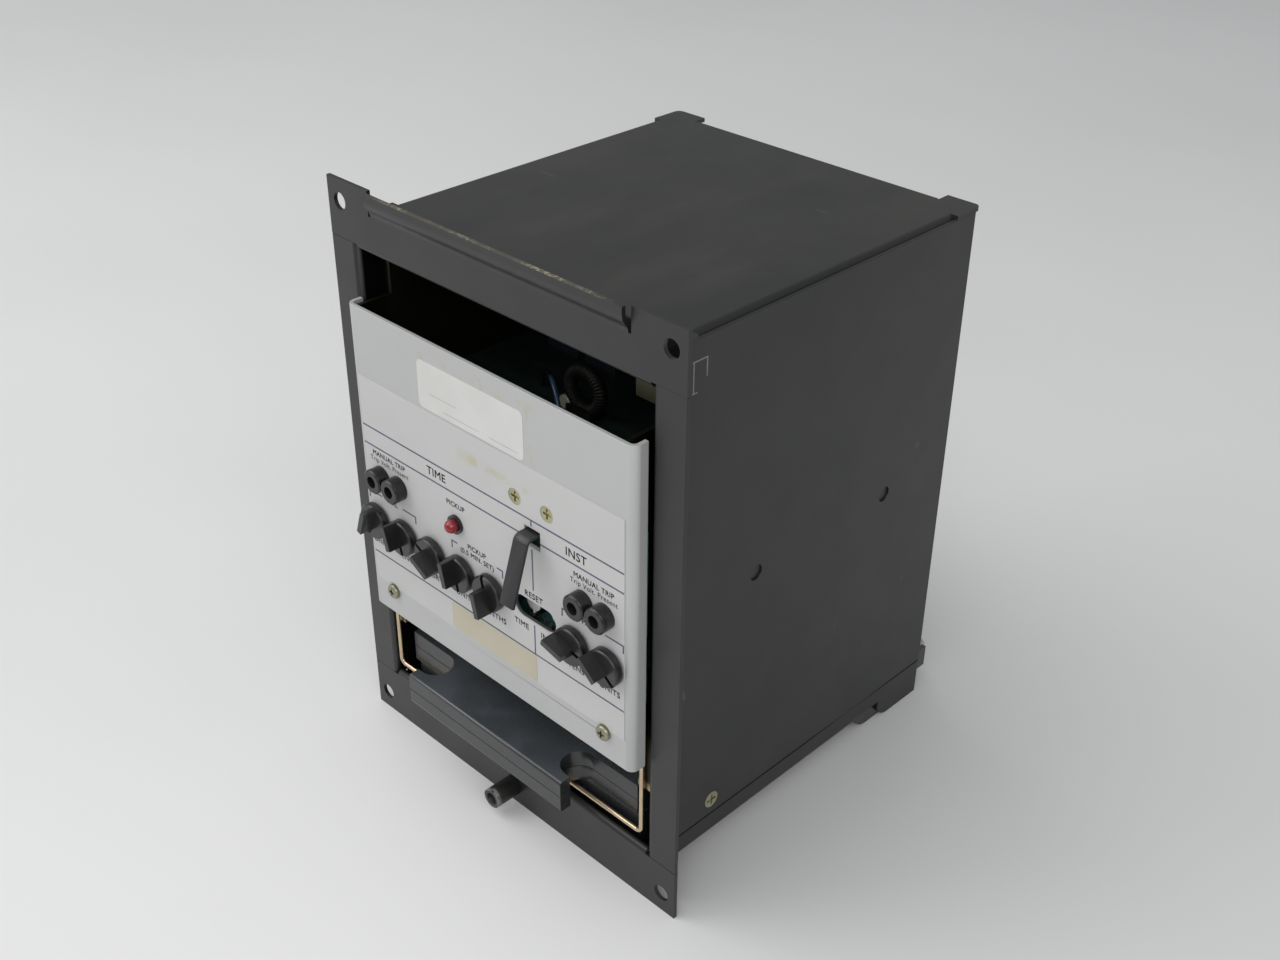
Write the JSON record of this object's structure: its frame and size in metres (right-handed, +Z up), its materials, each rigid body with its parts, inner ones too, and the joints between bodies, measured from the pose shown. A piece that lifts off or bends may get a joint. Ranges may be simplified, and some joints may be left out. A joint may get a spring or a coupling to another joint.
{
  "type": "protection relay",
  "caption": "Flush-mounting drawout protection relay: folded steel case, sliding relay cradle with knobs, jacks, lamp and reset lever, connection plug and bail.",
  "frame": {"origin": "centre of the four flange holes, on the front face of the flange", "axes": "+X to the right seen from the front, +Y into the case, +Z up"},
  "size_m": [0.1684, 0.1922, 0.2286],
  "materials": {
    "case_paint": "semi-matt black baked paint, worn pale on the lip's edge",
    "gold_zinc": "yellow chromated zinc plate",
    "bail_wire": "yellow chromated zinc plate with a pink tint",
    "plain_zinc": "bright zinc plate",
    "phenolic": "polished black phenolic moulding",
    "terminal_nickel": "nickel plate",
    "contact_brass": "bright spring brass",
    "stud_black": "black oxide",
    "panel_aluminium": "light grey etched and lacquered aluminium",
    "film_print": "printed off-white film",
    "board_green": "green solder mask",
    "switch_plastic": "moulded dark blue plastic",
    "jack_black": "moulded black nylon",
    "lamp_red": "dark red diffused epoxy",
    "runner_nylon": "natural nylon",
    "choke_winding": "dark enamelled winding",
    "capacitor_sleeve": "blue heat-shrink sleeve",
    "core_steel": "varnished laminations",
    "coil_tape": "varnished tape",
    "knob_black": "matt black moulded plastic",
    "lever_black": "black oxide strip",
    "flag_grey": "light grey painted disc"
  },
  "bodies": {
    "case": {"top_cover": "case_paint", "bottom_pan": "case_paint", "left_side_panel": "case_paint", "right_side_panel": "case_paint", "back_panel": "case_paint", "side_screws": "gold_zinc", "left_guide_rail": "plain_zinc", "right_guide_rail": "plain_zinc", "rail_rivets": "case_paint", "terminal_block": "phenolic", "terminal_screws": "terminal_nickel", "case_contact_block": "phenolic", "case_contacts": "contact_brass", "cover_stud": "stud_black"},
    "cradle": {"front_panel": "panel_aluminium", "control_film": "film_print", "panel_flat_screws": "gold_zinc", "panel_pan_screws": "gold_zinc", "front_board": "board_green", "board_standoffs": "plain_zinc", "switch_bodies": "switch_plastic", "test_jack_1": "jack_black", "test_jack_2": "jack_black", "test_jack_3": "jack_black", "test_jack_4": "jack_black", "pickup_lamp": "lamp_red", "lamp_bezel": "jack_black", "lever_bracket": "gold_zinc", "lever_pin": "plain_zinc", "target_frames": "jack_black", "left_frame_plate": "gold_zinc", "right_frame_plate": "gold_zinc", "rear_frame_plate": "gold_zinc", "cradle_floor": "gold_zinc", "panel_crossbar": "gold_zinc", "left_runner": "runner_nylon", "right_runner": "runner_nylon", "cradle_contact_block": "phenolic", "cradle_contacts": "contact_brass", "main_board": "board_green", "ring_choke": "choke_winding", "output_relays": "switch_plastic", "capacitor": "capacitor_sleeve", "transformer_cores": "core_steel", "transformer_coils": "coil_tape"},
    "plug": {"plug_body": "phenolic", "plug_contacts": "contact_brass"},
    "bail": {"bail": "bail_wire"},
    "reset_lever": {"reset_lever": "lever_black"},
    "knob_1": {"knob_1": "knob_black"},
    "knob_2": {"knob_2": "knob_black"},
    "knob_3": {"knob_3": "knob_black"},
    "knob_4": {"knob_4": "knob_black"},
    "knob_5": {"knob_5": "knob_black"},
    "knob_6": {"knob_6": "knob_black"},
    "knob_7": {"knob_7": "knob_black"},
    "target_flag_1": {"target_flag_1": "flag_grey"},
    "target_flag_2": {"target_flag_2": "flag_grey"}
  },
  "joints": [
    {"name": "cradle_slide", "type": "slide", "parent": "case", "child": "cradle", "axis": [0, -1, 0], "range_m": [0, 0.15]},
    {"name": "plug_slide", "type": "slide", "parent": "case", "child": "plug", "axis": [0, -1, 0], "range_m": [0, 0.065]},
    {"name": "bail_swing", "type": "hinge", "parent": "cradle", "child": "bail", "pos_m": [0, 0.0008, -0.0443], "axis": [-1, 0, 0], "range_deg": [0, 15]},
    {"name": "lever_press", "type": "hinge", "parent": "cradle", "child": "reset_lever", "pos_m": [0.02385, 0.002, 0.0229], "axis": [1, 0, 0], "range_deg": [0, 14], "stiffness_Nm_per_rad": 0.02, "springref_deg": -14.32},
    {"name": "knob_1_turn", "type": "hinge", "parent": "cradle", "child": "knob_1", "pos_m": [-0.0617, -0.01, -0.011], "axis": [0, -1, 0], "continuous": true},
    {"name": "knob_2_turn", "type": "hinge", "parent": "cradle", "child": "knob_2", "pos_m": [-0.0457, -0.01, -0.011], "axis": [0, -1, 0], "continuous": true},
    {"name": "knob_3_turn", "type": "hinge", "parent": "cradle", "child": "knob_3", "pos_m": [-0.0297, -0.01, -0.011], "axis": [0, -1, 0], "continuous": true},
    {"name": "knob_4_turn", "type": "hinge", "parent": "cradle", "child": "knob_4", "pos_m": [-0.0137, -0.01, -0.011], "axis": [0, -1, 0], "continuous": true},
    {"name": "knob_5_turn", "type": "hinge", "parent": "cradle", "child": "knob_5", "pos_m": [0.0023, -0.01, -0.011], "axis": [0, -1, 0], "continuous": true},
    {"name": "knob_6_turn", "type": "hinge", "parent": "cradle", "child": "knob_6", "pos_m": [0.04375, -0.01, -0.011], "axis": [0, -1, 0], "continuous": true},
    {"name": "knob_7_turn", "type": "hinge", "parent": "cradle", "child": "knob_7", "pos_m": [0.05975, -0.01, -0.011], "axis": [0, -1, 0], "continuous": true},
    {"name": "target_flag_1_turn", "type": "hinge", "parent": "cradle", "child": "target_flag_1", "pos_m": [0.01765, -0.0017, -0.0107], "axis": [0, 0, 1], "range_deg": [0, 170]},
    {"name": "target_flag_2_turn", "type": "hinge", "parent": "cradle", "child": "target_flag_2", "pos_m": [0.03005, -0.0017, -0.0107], "axis": [0, 0, 1], "range_deg": [0, 170]}
  ]
}
